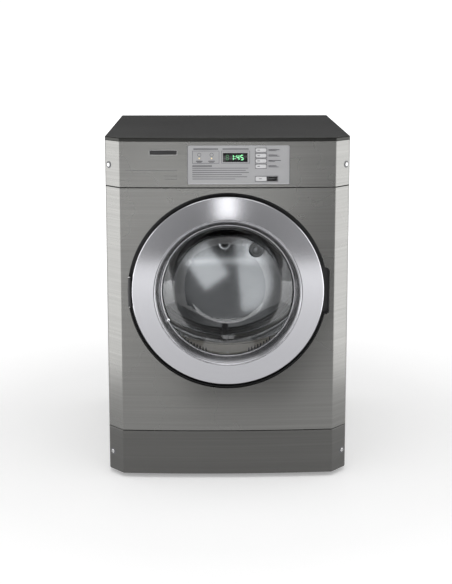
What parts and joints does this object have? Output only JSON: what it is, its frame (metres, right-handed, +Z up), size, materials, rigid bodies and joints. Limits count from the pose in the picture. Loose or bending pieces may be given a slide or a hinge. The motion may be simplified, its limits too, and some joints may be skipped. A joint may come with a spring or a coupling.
{
  "type": "tumble dryer",
  "caption": "Front-loading commercial tumble dryer with a bowed front, angled corners, a round glazed door on a side hinge, a turning drum and a lift-out lint filter.",
  "frame": {"origin": "centre of the bounding box at the floor, under the levelling feet", "axes": "+Z up, the door and controls face -Y, +X is to the right as the user faces the dryer"},
  "size_m": [0.686, 0.7449, 0.983],
  "materials": {
    "lid_grey": "fine-textured dark grey paint",
    "cabinet_silver": "satin silver-grey paint",
    "side_silver": "satin silver-grey paint",
    "overlay_silver": "matt silver film",
    "gloss_black": "gloss black",
    "matte_black": "matt black",
    "door_silver": "metallic silver lacquer",
    "window_glass": "clear polished",
    "key_grey": "satin grey",
    "galvanised": "galvanised sheet",
    "drum_steel": "brushed stainless steel",
    "screw_steel": "bright zinc plated",
    "shaft_steel": "turned steel",
    "black_rubber": "black rubber",
    "felt": "wool felt",
    "beige_plastic": "beige moulding",
    "white_plastic": "natural moulding",
    "board_green": "circuit board",
    "lamp_lens": "moulded lens",
    "aluminium": "cast aluminium"
  },
  "bodies": {
    "cabinet": {"left_side_panel": "side_silver", "right_side_panel": "side_silver", "rear_panel": "galvanised", "base_pan": "galvanised", "top_cover": "lid_grey", "control_fascia": "cabinet_silver", "control_overlay": "overlay_silver", "badge_plate": "gloss_black", "front_panel": "cabinet_silver", "door_well_ring": "matte_black", "kick_panel": "cabinet_silver", "cabinet_screws": "screw_steel", "front_bulkhead": "galvanised", "rear_bulkhead": "galvanised", "drum_seals": "felt", "filter_grille": "beige_plastic", "lint_duct": "galvanised", "blower_housing": "white_plastic", "exhaust_pipe": "galvanised", "heater_box": "galvanised", "heater_coil": "shaft_steel", "motor_body": "aluminium", "motor_bracket": "galvanised", "idler_spring": "shaft_steel", "drum_belt": "black_rubber", "drum_lamp": "lamp_lens", "roller_shafts": "shaft_steel", "control_board": "board_green", "terminal_cover": "matte_black", "power_gland": "matte_black", "foot_lock_nuts": "screw_steel", "hinge_bracket": "matte_black", "hinge_pin": "screw_steel", "door_catch": "matte_black", "door_switch": "matte_black"},
    "door": {"door_ring": "door_silver", "door_glass": "window_glass", "door_inner_frame": "galvanised", "door_gasket": "black_rubber", "door_strike": "shaft_steel", "door_hinge_arm": "matte_black"},
    "drum": {"drum_shell": "drum_steel", "drum_baffles": "drum_steel"},
    "left_roller": {"left_drum_roller": "black_rubber"},
    "right_roller": {"right_drum_roller": "black_rubber"},
    "motor_rotor": {"motor_shaft": "shaft_steel", "blower_wheel": "white_plastic"},
    "idler_arm": {"idler_arm": "shaft_steel"},
    "idler_pulley": {"idler_pulley": "white_plastic"},
    "lint_filter": {"lint_filter": "beige_plastic"},
    "door_switch_plunger": {"door_switch_plunger": "white_plastic"},
    "start_key": {"start_key": "key_grey"},
    "key_1": {"key_1": "key_grey"},
    "key_2": {"key_2": "key_grey"},
    "key_3": {"key_3": "key_grey"},
    "key_4": {"key_4": "key_grey"},
    "foot_front_left": {"levelling_foot_front_left": "black_rubber"},
    "foot_front_right": {"levelling_foot_front_right": "black_rubber"},
    "foot_rear_left": {"levelling_foot_rear_left": "black_rubber"},
    "foot_rear_right": {"levelling_foot_rear_right": "black_rubber"}
  },
  "joints": [
    {"name": "door_swing", "type": "hinge", "parent": "cabinet", "child": "door", "pos_m": [-0.2758, -0.348, 0.549], "axis": [0, 0, -1], "range_deg": [0, 115]},
    {"name": "drum_spin", "type": "hinge", "parent": "cabinet", "child": "drum", "pos_m": [0, 0.03, 0.549], "axis": [0, 1, 0], "continuous": true},
    {"name": "filter_lift", "type": "slide", "parent": "cabinet", "child": "lint_filter", "axis": [0, 0, 1], "range_m": [0, 0.17]},
    {"name": "roller_spin_left", "type": "hinge", "parent": "cabinet", "child": "left_roller", "pos_m": [-0.20092, 0.236, 0.26205], "axis": [0, 1, 0], "continuous": true},
    {"name": "roller_spin_right", "type": "hinge", "parent": "cabinet", "child": "right_roller", "pos_m": [0.20092, 0.236, 0.26205], "axis": [0, 1, 0], "continuous": true},
    {"name": "motor_spin", "type": "hinge", "parent": "cabinet", "child": "motor_rotor", "pos_m": [0.19, 0, 0.122], "axis": [0, 1, 0], "continuous": true},
    {"name": "idler_swing", "type": "hinge", "parent": "cabinet", "child": "idler_arm", "pos_m": [0.046, 0.055, 0.165], "axis": [0, -1, 0], "range_deg": [0, 10], "stiffness_Nm_per_rad": 0.4, "springref_deg": -17.19},
    {"name": "idler_spin", "type": "hinge", "parent": "idler_arm", "child": "idler_pulley", "pos_m": [0.11, 0.046, 0.127], "axis": [0, 1, 0], "continuous": true},
    {"name": "door_switch_travel", "type": "slide", "parent": "cabinet", "child": "door_switch_plunger", "axis": [0, -1, 0], "range_m": [0, 0.0042]},
    {"name": "key_press_1", "type": "slide", "parent": "cabinet", "child": "key_1", "axis": [0, 1, 0], "range_m": [0, 0.0012], "stiffness_N_per_m": 300, "springref_m": -0.001},
    {"name": "key_press_2", "type": "slide", "parent": "cabinet", "child": "key_2", "axis": [0, 1, 0], "range_m": [0, 0.0012], "stiffness_N_per_m": 300, "springref_m": -0.001},
    {"name": "key_press_3", "type": "slide", "parent": "cabinet", "child": "key_3", "axis": [0, 1, 0], "range_m": [0, 0.0012], "stiffness_N_per_m": 300, "springref_m": -0.001},
    {"name": "key_press_4", "type": "slide", "parent": "cabinet", "child": "key_4", "axis": [0, 1, 0], "range_m": [0, 0.0012], "stiffness_N_per_m": 300, "springref_m": -0.001},
    {"name": "start_key_press", "type": "slide", "parent": "cabinet", "child": "start_key", "axis": [0, 1, 0], "range_m": [0, 0.0012], "stiffness_N_per_m": 300, "springref_m": -0.001},
    {"name": "levelling_front_left", "type": "slide", "parent": "cabinet", "child": "foot_front_left", "axis": [0, 0, -1], "range_m": [0, 0.02]},
    {"name": "levelling_front_right", "type": "slide", "parent": "cabinet", "child": "foot_front_right", "axis": [0, 0, -1], "range_m": [0, 0.02]},
    {"name": "levelling_rear_left", "type": "slide", "parent": "cabinet", "child": "foot_rear_left", "axis": [0, 0, -1], "range_m": [0, 0.02]},
    {"name": "levelling_rear_right", "type": "slide", "parent": "cabinet", "child": "foot_rear_right", "axis": [0, 0, -1], "range_m": [0, 0.02]}
  ],
  "couplings": [
    {"joint": "roller_spin_left", "follows": "drum_spin", "ratio": -8.2105},
    {"joint": "roller_spin_right", "follows": "drum_spin", "ratio": -8.2105},
    {"joint": "motor_spin", "follows": "drum_spin", "ratio": 31.2},
    {"joint": "idler_spin", "follows": "drum_spin", "ratio": 15.6},
    {"joint": "door_switch_travel", "follows": "door_swing", "m_per_rad": 0.002}
  ]
}
